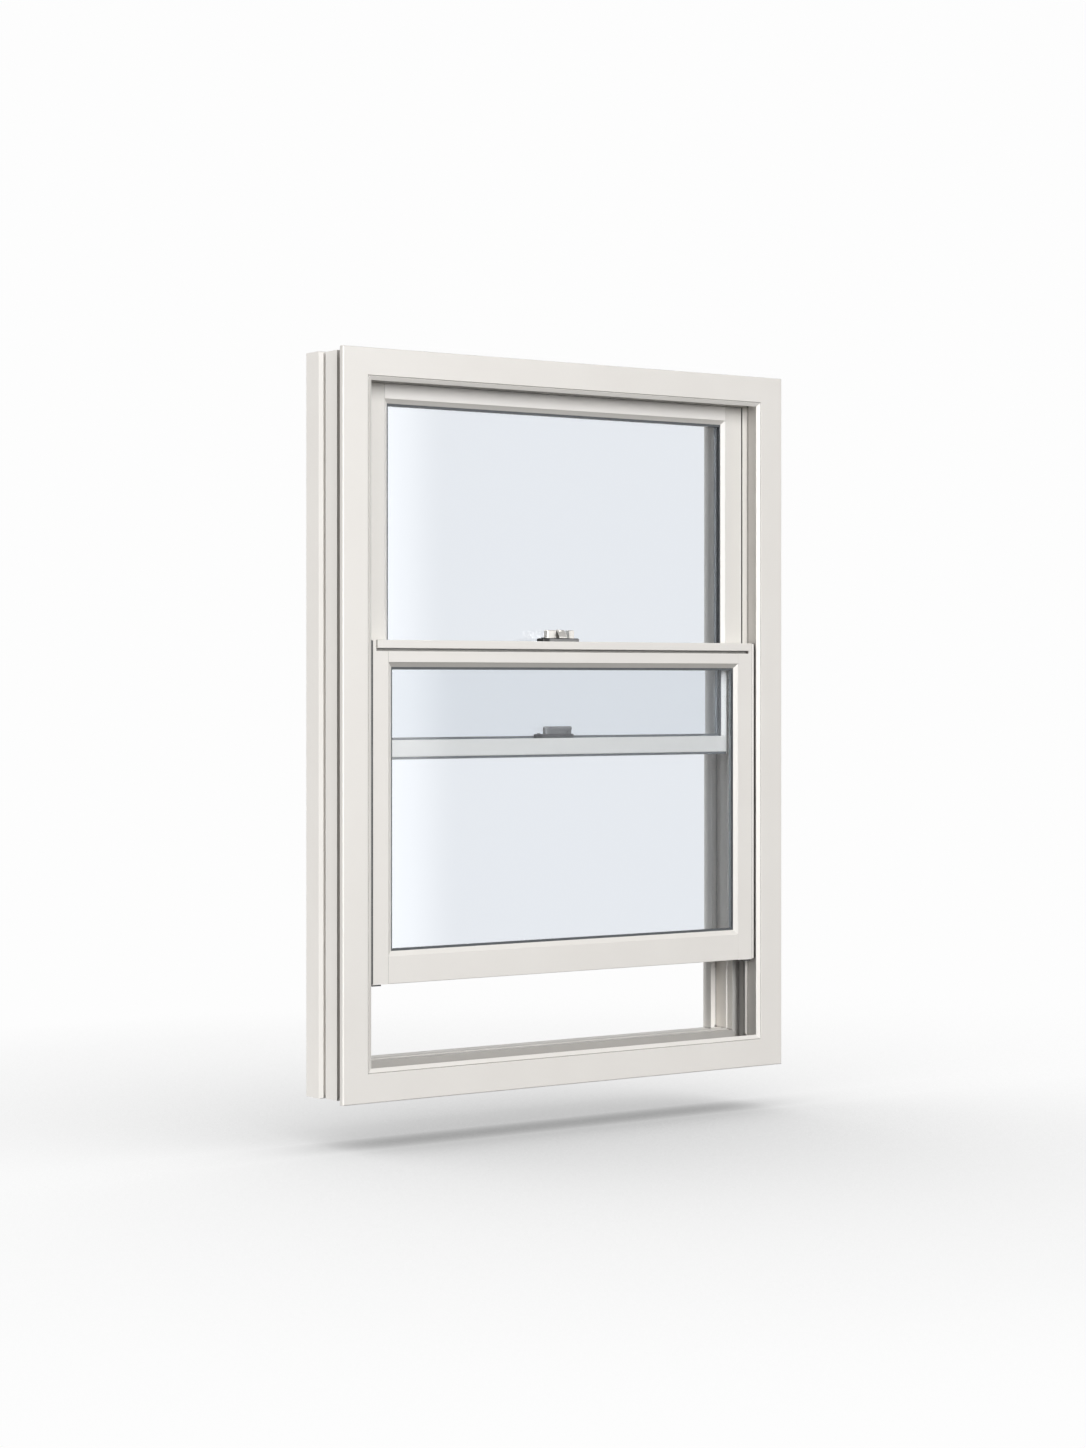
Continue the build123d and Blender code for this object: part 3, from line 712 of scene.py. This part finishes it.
@dataclass(frozen=True)
class Fitting:
    """A small piece on a node: its name, the body that carries it, a slot name that is not used, and its
    place.
    """

    name: str
    body: str
    slot: str
    place: Point
    drum_sides: ClassVar[int] = 28

    def _cube(self, size: Point) -> bpy.types.Object:
        """A block around the place, in edit mode.

        Args:
            size: Its lengths along x, y and z.

        Returns:
            The block.
        """
        bpy.ops.object.select_all(action="DESELECT")
        bpy.ops.mesh.primitive_cube_add(size=1.0, location=self.place)
        block = bpy.context.object
        block.scale = size
        bpy.ops.object.transform_apply(location=True, rotation=True, scale=True)
        bpy.ops.object.mode_set(mode="EDIT")
        return block

    def _drum(self, radius: float, depth: float, lean: float = 0.0) -> bpy.types.Object:
        """A short drum around the place, in edit mode.

        Args:
            radius: Its radius.
            depth: Its length.
            lean: Turn about x from upright.

        Returns:
            The drum.
        """
        bpy.ops.object.select_all(action="DESELECT")
        bpy.ops.mesh.primitive_cylinder_add(
            vertices=self.drum_sides, radius=radius, depth=depth, location=self.place,
            rotation=(lean, 0.0, 0.0),
        )
        drum = bpy.context.object
        bpy.ops.object.transform_apply(location=True, rotation=True, scale=True)
        bpy.ops.object.mode_set(mode="EDIT")
        return drum

    def _settle(self, piece: bpy.types.Object, material: bpy.types.Material) -> None:
        """Leave edit mode, name and dress the piece, and let it ride.

        Args:
            piece: The modelled piece.
            material: Its finish.
        """
        if bpy.context.mode != "OBJECT":
            bpy.ops.object.mode_set(mode="OBJECT")
        bpy.ops.object.shade_smooth_by_angle(angle=SMOOTH_ANGLE)
        piece.name = piece.data.name = self.name
        piece.data.materials.clear()
        piece.data.materials.append(material)
        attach(piece, self.body)
        log.info("%s: rides on %s", self.name, self.body)


@dataclass(frozen=True)
class Screw(Fitting):
    """A pan head with a cross recess; its place is the middle of its seat."""

    radius: float = 3.0 * MM
    height: float = 1.4 * MM
    edge: float = 0.6 * MM
    cross: float = 3.4 * MM
    cross_width: float = 0.9 * MM
    cross_rise: float = 1.6

    def build(self, material: bpy.types.Material) -> None:
        """Model the head and cut its cross."""
        head = self._drum(self.radius, 2 * self.height)
        pick_faces((0.0, 0.0, 1.0))
        bpy.ops.mesh.bevel(offset=self.edge, segments=3, affect="EDGES")
        bpy.ops.object.mode_set(mode="OBJECT")
        for size in ((self.cross, self.cross_width), (self.cross_width, self.cross)):
            self._cut(head, (*size, 2 * self.height))
        self._settle(head, material)

    def _cut(self, head: bpy.types.Object, size: Point) -> None:
        """Take one bar of the cross out of the head's top.

        Args:
            head: The screw head.
            size: The bar's lengths.
        """
        across, back, seat = self.place
        bar = replace(self, place=(across, back, seat + self.cross_rise * self.height))._cube(size)
        bpy.ops.object.mode_set(mode="OBJECT")
        bpy.ops.object.select_all(action="DESELECT")
        head.select_set(True)
        bpy.context.view_layer.objects.active = head
        cut = head.modifiers.new("cross", "BOOLEAN")
        cut.operation = "DIFFERENCE"
        cut.object = bar
        bpy.ops.object.modifier_apply(modifier=cut.name)
        bpy.data.objects.remove(bar)


@dataclass(frozen=True)
class Rivet(Fitting):
    """The low dome that closes the lock's pivot pin; its place is the top of the pin."""

    radius: float = 4.2 * MM
    height: float = 1.0 * MM
    edge: float = 0.8 * MM
    dimple_rim: float = 1.68 * MM
    dimple: float = 0.3 * MM

    def build(self, material: bpy.types.Material) -> None:
        """Model the dome with a shallow dimple."""
        dome = self._drum(self.radius, 2 * self.height)
        pick_faces((0.0, 0.0, 1.0))
        bpy.ops.mesh.bevel(offset=self.edge, segments=4, affect="EDGES")
        pick_faces((0.0, 0.0, 1.0))
        bpy.ops.mesh.inset(thickness=self.dimple_rim)
        bpy.ops.transform.translate(value=(0.0, 0.0, -self.dimple))
        self._settle(dome, material)


@dataclass(frozen=True)
class Eyelet(Fitting):
    """A small eye on the keeper's hood, dark as painted shade of a hole; its place is the middle of its seat.
    """

    radius: float = 1.5 * MM
    depth: float = 0.5 * MM
    rim: float = 0.45 * MM
    sunk: float = 0.4 * MM

    def build(self, material: bpy.types.Material) -> None:
        """Model the rim with its sunk middle."""
        eye = self._drum(self.radius, 2 * self.depth, QUARTER)
        pick_faces((0.0, -1.0, 0.0))
        bpy.ops.mesh.inset(thickness=self.rim)
        bpy.ops.transform.translate(value=(0.0, self.sunk, 0.0))
        self._settle(eye, material)


@dataclass(frozen=True)
class WeepCover(Fitting):
    """A cover over a drain slot on the sill's weather side; its place is the middle of its seat."""

    size: Point = (42 * MM, 2.4 * MM, 13 * MM)
    rim: float = 1.8 * MM
    edge: float = 0.5 * MM
    sunk: float = 1.2 * MM
    slot_wide: float = 0.72 * MM
    flap: float = 0.72 * MM

    def build(self, material: bpy.types.Material) -> None:
        """Model the cover with its sunk flap and the slot under it."""
        cover = self._cube((self.size[0], 2 * self.size[1], self.size[2]))
        pick_faces((0.0, 1.0, 0.0))
        bpy.ops.mesh.bevel(offset=self.edge, segments=2, affect="EDGES")
        pick_faces((0.0, 1.0, 0.0))
        bpy.ops.mesh.inset(thickness=self.rim)
        bpy.ops.transform.translate(value=(0.0, -self.sunk, 0.0))
        bpy.ops.mesh.inset(thickness=self.slot_wide)
        bpy.ops.transform.translate(value=(0.0, self.flap, 0.0))
        self._settle(cover, material)


@dataclass(frozen=True)
class SideFin(Fitting):
    """A slim fin along the front outer edge of a sash stile; its place is the fin's middle."""

    size: Point
    edge: float = 0.8 * MM
    heel: float = 0.2

    def build(self, material: bpy.types.Material) -> None:
        """Model the fin with rounded lips and a set-in heel."""
        fin = self._cube(self.size)
        pick_faces((0.0, -1.0, 0.0))
        bpy.ops.mesh.bevel(offset=self.edge, segments=3, affect="EDGES")
        pick_faces((0.0, 1.0, 0.0))
        bpy.ops.mesh.inset(thickness=self.heel * self.size[0])
        self._settle(fin, material)


@dataclass
class FixedFrame:
    """The welded frame with its sash stops, screen tracks and drain covers."""

    level: tuple[str, ...] = ("frame_head",)
    sill: tuple[str, ...] = ("frame_sill",)
    jambs: tuple[str, ...] = both("jamb")
    stops: tuple[str, ...] = both("sash_stop")
    tracks: tuple[str, ...] = both("screen_track")
    weep_across: float = 0.26
    weep_height: float = 16 * MM

    def finish(self, finishes: Finishes) -> None:
        """Dress the frame and put the covers on its sill."""
        dress(self.level, finishes.level)
        dress(self.sill, finishes.sill)
        dress(self.jambs, finishes.jamb)
        dress(self.stops, finishes.upright)
        dress(self.tracks, finishes.track)
        for side, across in zip(both("weep_cover"), (-self.weep_across, self.weep_across)):
            seat = (across, CAD_BOX[1].y, CAD_BOX[0].z + self.weep_height)
            WeepCover(side, "frame", "vinyl", seat).build(finishes.level)


@dataclass
class GlazedSash:
    """One sash: its profiles, beads, seal and sealed unit."""

    name: str
    level: tuple[str, ...]
    upright: tuple[str, ...]
    seals: tuple[str, ...]

    def finish(self, finishes: Finishes) -> None:
        """Dress the sash."""
        dress(self.level, finishes.level)
        dress(self.upright, finishes.upright)
        dress(self.seals, finishes.seal)
        dress([f"{self.name}_spacer"], finishes.spacer)
        panes = (f"{self.name}_inner_pane", f"{self.name}_outer_pane")
        dress(panes, finishes.glass)
        for pane in panes:
            frame["nodes"][pane].visible_diffuse = False


@dataclass
class SashSeals:
    """Pads, pile strips and side fins of the lower sash: a dark fin at the left, which paints the shade of
    the gap beside the stile, and a white one at the right.
    """

    fin_wide: float = 4.2 * MM
    fin_out: float = 0.6 * MM
    fin_back: float = 1.0 * MM
    strip_wide: float = 4.6 * MM
    strip_lap: float = 0.1 * MM
    thick: float = 3.6 * MM
    end_gap: float = 1 * MM

    def finish(self, finishes: Finishes) -> None:
        """Dress the pads and strips and add the fins."""
        dress(both("corner_pad"), finishes.pad)
        dress(both("side_pile"), finishes.pile)
        low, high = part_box("left_lower_stile")
        long, height = high.z - low.z - 2 * self.end_gap, (low.z + high.z) / 2
        middle = (low.x - self.fin_out, low.y + self.fin_back, height)
        size = (self.fin_wide, self.thick, long)
        # The dark fin stands in for the shadow in the gap between the left stile and the jamb.
        SideFin("left_shade_fin", "lower_sash", "seal", middle, size).build(finishes.pad)
        low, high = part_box("right_lower_stile")
        middle = (high.x + self.strip_wide / 2 - self.strip_lap, low.y + self.thick / 2, height)
        size = (self.strip_wide, self.thick, long)
        SideFin("right_side_fin", "lower_sash", "vinyl", middle, size).build(finishes.upright)


@dataclass
class CamLock:
    """The lock on the lower sash and its keeper on the meeting rail, with their screws and rivet."""

    joint: str = "lock_lever_turn"
    screw_inset: float = 7 * MM
    keeper_inset: float = 9 * MM
    eye_inset: float = 16 * MM
    eye_rise: float = 9.8 * MM

    def finish(self, finishes: Finishes) -> None:
        """Dress the lock and add its small pieces."""
        dress(["lock_lever"], finishes.lever)
        dress(["lock_base"], finishes.foot)
        dress(["lock_keeper"], finishes.keeper)
        joints = frame["record"]["behaviour"]["joints"]
        pivot = next(joint["pos_m"] for joint in joints if joint["name"] == self.joint)
        low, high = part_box("lock_base")
        seat = (low.x + self.screw_inset, (low.y + high.y) / 2, low.z + FOOT_HEIGHT["lock_base"])
        Screw("lock_screw", "lower_sash", "nickel", seat).build(finishes.screw)
        Rivet("pivot_rivet", "lower_sash", "nickel", (pivot[0], pivot[1], high.z)).build(finishes.lever)
        low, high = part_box("lock_keeper")
        seat = (low.x + self.keeper_inset, (low.y + high.y) / 2, low.z + FOOT_HEIGHT["lock_keeper"])
        Screw("keeper_screw", "frame", "nickel", seat).build(finishes.screw)
        eye = (high.x - self.eye_inset, low.y, low.z + self.eye_rise)
        # Dark rubber stands in for the shade of the keeper's hole.
        Eyelet("keeper_eye_shade", "frame", "seal", eye).build(finishes.pad)


@dataclass
class Stage:
    """The white floor under the window, which keeps its soft shadow and gives little light back."""

    drop: float = 0.075
    reach: float = 14.0
    shadow_reach: float = 1.9
    shadow_depth: float = 1.02
    shadow_samples: int = 12
    bounce: Colour = (0.16, 0.16, 0.16)
    sides: int = 96

    def build(self) -> None:
        """Make the floor."""
        level = CAD_BOX[0].z - self.drop
        bpy.ops.object.select_all(action="DESELECT")
        bpy.ops.mesh.primitive_circle_add(
            vertices=self.sides, radius=self.reach, fill_type="NGON", location=(0.0, 0.0, level)
        )
        floor = bpy.context.object
        floor.name = "studio_floor"
        bpy.ops.object.transform_apply(location=True)
        floor.data.materials.append(self.material())

    def material(self) -> bpy.types.Material:
        """White where it is seen, darker where the window stands close above it, and dull as a light."""
        material, graph = new_material("studio_floor")
        reach = {"Distance": self.shadow_reach}
        nearness = graph.add("ShaderNodeAmbientOcclusion", {"samples": self.shadow_samples}, reach, "AO")
        sight = Sight(graph)
        tone = (1.0 - self.shadow_depth * (1.0 - nearness)) * sight.level()
        white = graph.add("ShaderNodeEmission", {}, {"Color": sight.tone(), "Strength": tone})
        dull = graph.add("ShaderNodeBsdfDiffuse", {}, {"Color": opaque(self.bounce)})
        graph.surface(graph.add("ShaderNodeMixShader", {}, {0: sight.direct(), 1: dull, 2: white}))
        return material


@dataclass(frozen=True)
class Card:
    """An upright card out of view, which only mirrors see; its far edge along x is soft."""

    name: str
    start: float
    end: float
    fade: float
    back: float
    foot: float
    top: float
    level: float

    def build(self) -> None:
        """Make the card."""
        bpy.ops.object.select_all(action="DESELECT")
        middle = ((self.start + self.end) / 2, self.back, (self.foot + self.top) / 2)
        bpy.ops.mesh.primitive_plane_add(size=1.0, location=middle, rotation=(QUARTER, 0.0, 0.0))
        card = bpy.context.object
        card.name = self.name
        card.scale = (self.end - self.start, self.top - self.foot, 1.0)
        bpy.ops.object.transform_apply(location=True, rotation=True, scale=True)
        card.data.materials.append(self.material())
        card.visible_camera = False
        card.visible_diffuse = False
        card.visible_transmission = False
        card.visible_shadow = False

    def material(self) -> bpy.types.Material:
        """A plain glow that fades towards the soft edge and lets the backdrop through there."""
        material, graph = new_material(self.name)
        limits = {"Value": graph.along("X"), "From Min": self.end, "From Max": self.end - self.fade}
        share = graph.add("ShaderNodeMapRange", {"interpolation_type": "SMOOTHSTEP"}, limits)
        clear = graph.add("ShaderNodeBsdfTransparent")
        glow = graph.add("ShaderNodeEmission", {}, {"Color": opaque((1.0, 1.0, 1.0)), "Strength": self.level})
        graph.surface(graph.add("ShaderNodeMixShader", {}, {0: share, 1: clear, 2: glow}))
        return material


@dataclass(frozen=True)
class Lamp:
    """A lamp: where it shines from and how strongly it lights a face turned to it."""

    name: str
    toward: Point
    level: float

    def _hang(self, lamp: bpy.types.Light) -> bpy.types.Object:
        """Put the lamp in the scene, turned to the window.

        Args:
            lamp: The lamp's data.

        Returns:
            The lamp's object, at the origin.
        """
        lamp.cycles.use_multiple_importance_sampling = False
        holder = bpy.data.objects.new(self.name, lamp)
        bpy.context.scene.collection.objects.link(holder)
        holder.rotation_euler = Vector(self.toward).to_track_quat("Z", "Y").to_euler()
        return holder


@dataclass(frozen=True)
class SideLamp(Lamp):
    """A far lamp with nearly even rays."""

    spread: float

    def build(self) -> None:
        """Make the lamp."""
        lamp = bpy.data.lights.new(self.name, "SUN")
        lamp.energy = self.level * math.pi
        lamp.angle = math.radians(self.spread)
        self._hang(lamp)


@dataclass(frozen=True)
class SoftBox(Lamp):
    """A lit sheet at some distance from the window's middle; without sheen it lights but isn't mirrored."""

    distance: float
    width: float
    height: float
    sheen: bool = True

    def build(self) -> None:
        """Make the lamp."""
        lamp = bpy.data.lights.new(self.name, "AREA")
        lamp.shape = "RECTANGLE"
        lamp.size = self.width
        lamp.size_y = self.height
        lamp.energy = self.level * (math.pi * self.distance) ** 2
        middle = (CAD_BOX[0] + CAD_BOX[1]) / 2
        holder = self._hang(lamp)
        holder.location = middle + self.distance * Vector(self.toward).normalized()
        holder.visible_glossy = self.sheen


@dataclass
class Studio:
    """Broad lamps in front and behind, a lamp along the window's plane, and a backdrop that lights little."""

    key: SoftBox = SoftBox(
        "key", toward=(-0.094, -0.894, 0.438), level=0.93, distance=30.0, width=7.1, height=23.3
    )
    fill: SoftBox = SoftBox(
        "fill", toward=(-0.857, -0.495, 0.139), level=0.28, distance=8.0, width=6.0, height=6.0
    )
    side: SideLamp = SideLamp("side", toward=(-1.0, 0.0, 0.02), level=0.69, spread=2.0)
    rear: SoftBox = SoftBox(
        "rear", toward=(0.47, 0.88, 0.07), level=0.95, distance=9.0, width=6.0, height=2.0, sheen=False
    )
    white_card: Card = Card(
        "white_card", start=0.9, end=1.72, fade=0.22, back=-3.0, foot=-1.0, top=3.0, level=4.0
    )
    gleam_card: Card = Card(
        "gleam_card", start=-1.3, end=0.05, fade=0.1, back=-3.0, foot=-0.6, top=2.2, level=6.0
    )
    dark_card: Card = Card(
        "dark_card", start=-2.6, end=-0.3, fade=0.4, back=1.5, foot=-0.5, top=2.2, level=0.0
    )
    surround: float = 0.03

    def build(self) -> None:
        """Make the lamps, the cards and the world."""
        lamps = (self.key, self.fill, self.side, self.rear)
        for part in (*lamps, self.white_card, self.gleam_card, self.dark_card):
            part.build()
        self._world()

    def _world(self) -> None:
        """White to the camera, to mirrors and through glass, and nearly dark as a light."""
        world = bpy.data.worlds.new("studio")
        bpy.context.scene.world = world
        world.use_nodes = True
        graph = ShaderGraph(world.node_tree)
        sight = Sight(graph)
        level = sight.direct() * (sight.level() - self.surround) + self.surround
        backdrop = graph.add("ShaderNodeBackground", {}, {"Color": sight.tone(), "Strength": level})
        graph.add("ShaderNodeOutputWorld", {}, {"Surface": backdrop})


@dataclass
class Portrait:
    """The camera: level, from the left of the window, on the room side."""

    location: Point = (-2.8882, -4.1032, 0.6680)
    turn: float = math.radians(-35.2)
    lens: float = 73.4
    sensor: float = 36.0
    lowered: float = -0.0283

    def build(self) -> None:
        """Make the camera the scene's own."""
        data = bpy.data.cameras.new("portrait")
        data.lens = self.lens
        data.sensor_width = self.sensor
        data.shift_y = self.lowered
        camera = bpy.data.objects.new("portrait", data)
        bpy.context.scene.collection.objects.link(camera)
        camera.location = self.location
        camera.rotation_euler = (QUARTER, 0.0, self.turn)
        bpy.context.scene.camera = camera


def main() -> None:
    """Dress the window and set the stage."""
    logging.basicConfig(level=logging.INFO, format="%(name)s: %(message)s")
    bpy.context.scene.view_settings.view_transform = "Standard"
    finishes = Finishes.make()
    FixedFrame().finish(finishes)
    upper = GlazedSash(
        name="upper",
        level=("upper_top_rail", "upper_meeting_rail", "upper_top_bead"),
        upright=(*both("upper_stile"), *both("upper_bead")),
        seals=("upper_gasket", "meeting_seal"),
    )
    upper.finish(finishes)
    lower = GlazedSash(
        name="lower",
        level=("lower_top_rail", "lower_bottom_rail", "lift_rail", "lower_top_bead", "lower_bottom_bead"),
        upright=(*both("lower_stile"), *both("lower_bead")),
        seals=("lower_gasket",),
    )
    lower.finish(finishes)
    SashSeals().finish(finishes)
    CamLock().finish(finishes)
    Stage().build()
    Studio().build()
    Portrait().build()


if __name__ == "__main__":
    main()
